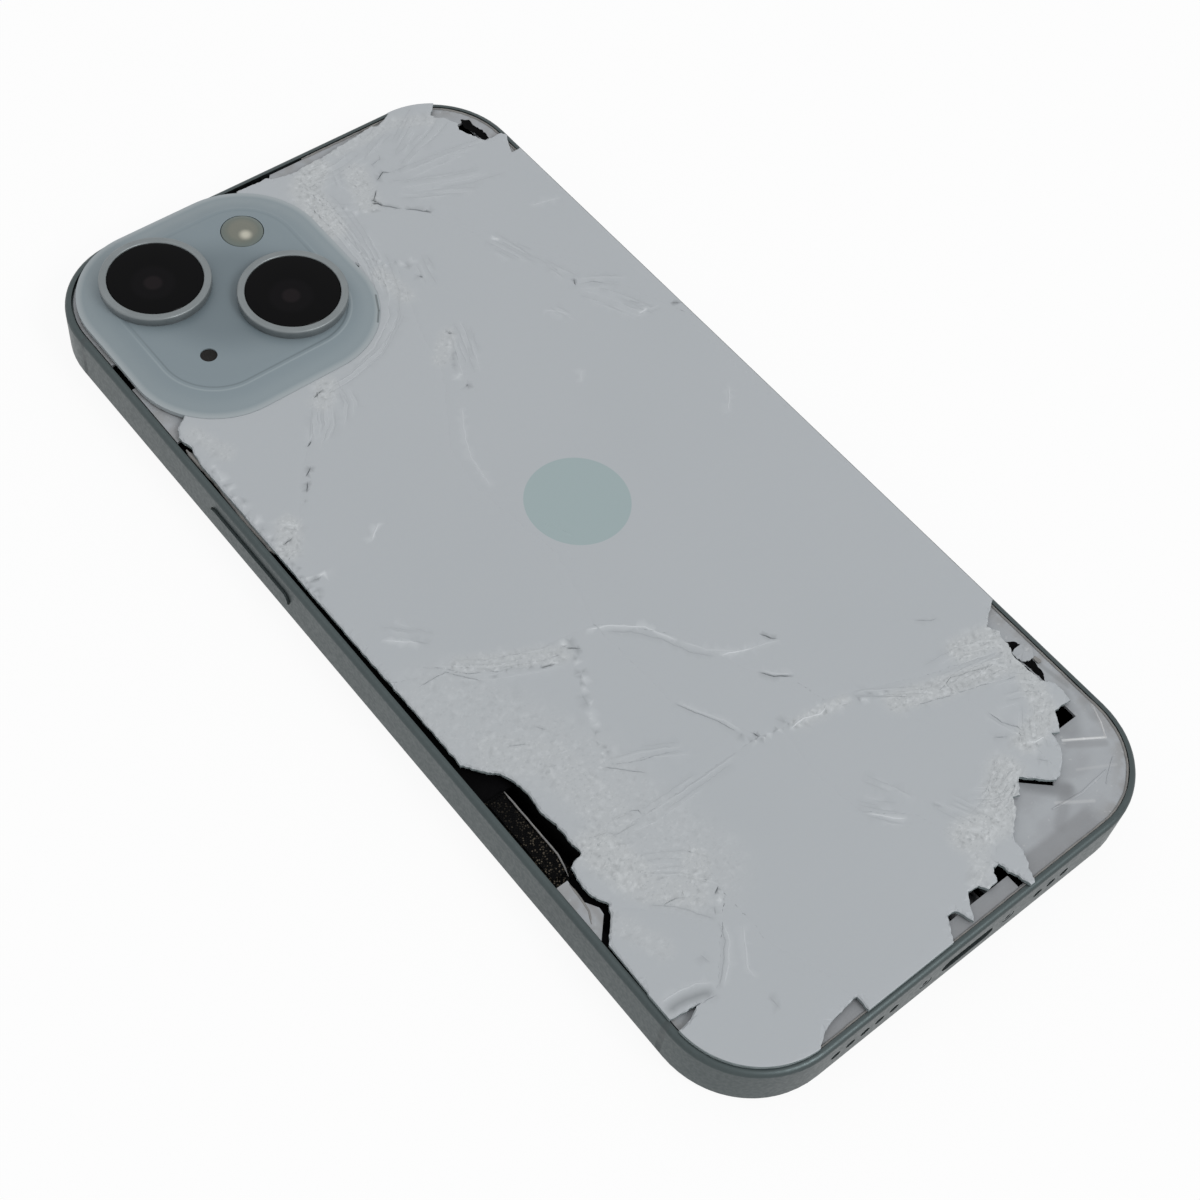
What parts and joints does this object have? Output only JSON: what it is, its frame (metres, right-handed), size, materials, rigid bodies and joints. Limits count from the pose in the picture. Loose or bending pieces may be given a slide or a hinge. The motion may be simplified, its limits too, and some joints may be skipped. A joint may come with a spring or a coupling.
{
  "type": "smartphone with shattered rear glass",
  "caption": "Slim smartphone lying on its display: metal frame, raised camera plateau with two ringed lenses, and a rear glass cracked into shards with pieces missing at its edges.",
  "frame": {"origin": "on the display face, under the middle of the frame, where the phone lies on a surface", "axes": "+X to the right and +Y towards the camera end, seen from behind; +Z out of the back"},
  "size_m": [0.0722, 0.1466, 0.0109],
  "materials": {
    "frame_metal": "anodised satin, dark green-grey",
    "antenna_plastic": "moulded insulating strip, matt",
    "display_glass": "polished black cover glass over a dark display",
    "dark_plastic": "fine matt black",
    "black_rubber": "matt black foam and seal",
    "backing_metal": "bead-blasted, pale grey",
    "bonding_film": "double-sided film",
    "woven_tape": "black woven conductive tape",
    "plateau_glass": "glossy tinted glass, back-painted",
    "ring_metal": "polished and anodised grey",
    "lens_glass": "polished black lens cover",
    "module_metal": "pressed sheet, satin",
    "flash_glass": "moulded clear dome over a yellow diode",
    "led_phosphor": "yellow phosphor",
    "flex_film": "polyimide film",
    "card_plastic": "smooth card with gold contacts",
    "battery_film": "black laminate pouch",
    "adhesive_strip": "white stretch adhesive",
    "board_laminate": "dark green solder resist",
    "coil_copper": "enamelled copper winding",
    "port_metal": "drawn shell, satin",
    "screw_steel": "turned and plated",
    "rear_glass": "satin etched glass, back-painted silver grey, shattered"
  },
  "bodies": {
    "phone": {"frame": "frame_metal", "antenna_bands": "antenna_plastic", "display_glass": "display_glass", "display_panel": "dark_plastic", "display_seal": "black_rubber", "backing_plate": "backing_metal", "rear_adhesive": "bonding_film", "edge_foam": "black_rubber", "antenna_module": "woven_tape", "antenna_clip": "backing_metal", "glass_upper_left": "rear_glass", "glass_centre_left": "rear_glass", "glass_centre_right": "rear_glass", "glass_top_middle": "rear_glass", "glass_top_right": "rear_glass", "glass_left_middle": "rear_glass", "glass_centre_wedge": "rear_glass", "glass_left_small": "rear_glass", "glass_lower_left": "rear_glass", "glass_bottom_left": "rear_glass", "glass_bottom_middle": "rear_glass", "glass_bottom_right": "rear_glass", "glass_right_lower": "rear_glass", "glass_tooth": "rear_glass", "camera_plateau": "plateau_glass", "lens_ring_upper": "ring_metal", "lens_ring_lower": "ring_metal", "lens_cover_upper": "lens_glass", "lens_cover_lower": "lens_glass", "camera_module": "module_metal", "flash_lens": "flash_glass", "flash_led": "led_phosphor", "rear_microphone": "module_metal", "side_button_switch": "flex_film", "volume_switches": "flex_film", "sim_reader": "module_metal", "battery": "battery_film", "battery_adhesive": "adhesive_strip", "logic_board": "board_laminate", "shield_can_upper": "module_metal", "shield_can_lower": "module_metal", "charging_coil": "coil_copper", "magnet_ring": "module_metal", "haptic_motor_case": "module_metal", "loudspeaker": "dark_plastic", "earpiece_speaker": "dark_plastic", "front_camera": "dark_plastic", "charging_port": "port_metal", "end_screws": "screw_steel", "plate_screws": "screw_steel"},
    "side_button_body": {"side_button": "frame_metal"},
    "volume_up_body": {"volume_up_button": "frame_metal"},
    "volume_down_body": {"volume_down_button": "frame_metal"},
    "mute_body": {"mute_switch": "frame_metal"},
    "card_tray_body": {"sim_tray": "frame_metal", "sim_card": "card_plastic"},
    "upper_lens_body": {"lens_barrel_upper": "dark_plastic"},
    "lower_lens_body": {"lens_barrel_lower": "dark_plastic"},
    "haptic_body": {"haptic_mass": "module_metal"}
  },
  "joints": [
    {"name": "side_button_press", "type": "slide", "parent": "phone", "child": "side_button_body", "axis": [1, 0, 0], "range_m": [0, 0.00035], "stiffness_N_per_m": 1500},
    {"name": "volume_up_press", "type": "slide", "parent": "phone", "child": "volume_up_body", "axis": [-1, 0, 0], "range_m": [0, 0.00035], "stiffness_N_per_m": 1500},
    {"name": "volume_down_press", "type": "slide", "parent": "phone", "child": "volume_down_body", "axis": [-1, 0, 0], "range_m": [0, 0.00035], "stiffness_N_per_m": 1500},
    {"name": "mute_switch_slide", "type": "slide", "parent": "phone", "child": "mute_body", "axis": [0, 0, 1], "range_m": [0, 0.0012]},
    {"name": "card_tray_slide", "type": "slide", "parent": "phone", "child": "card_tray_body", "axis": [1, 0, 0], "range_m": [0, 0.014]},
    {"name": "upper_lens_focus", "type": "slide", "parent": "phone", "child": "upper_lens_body", "axis": [0, 0, 1], "range_m": [0, 0.0003], "stiffness_N_per_m": 300},
    {"name": "lower_lens_focus", "type": "slide", "parent": "phone", "child": "lower_lens_body", "axis": [0, 0, 1], "range_m": [0, 0.0003], "stiffness_N_per_m": 300},
    {"name": "haptic_shake", "type": "slide", "parent": "phone", "child": "haptic_body", "axis": [1, 0, 0], "range_m": [-0.0005, 0.0005], "stiffness_N_per_m": 1500}
  ]
}
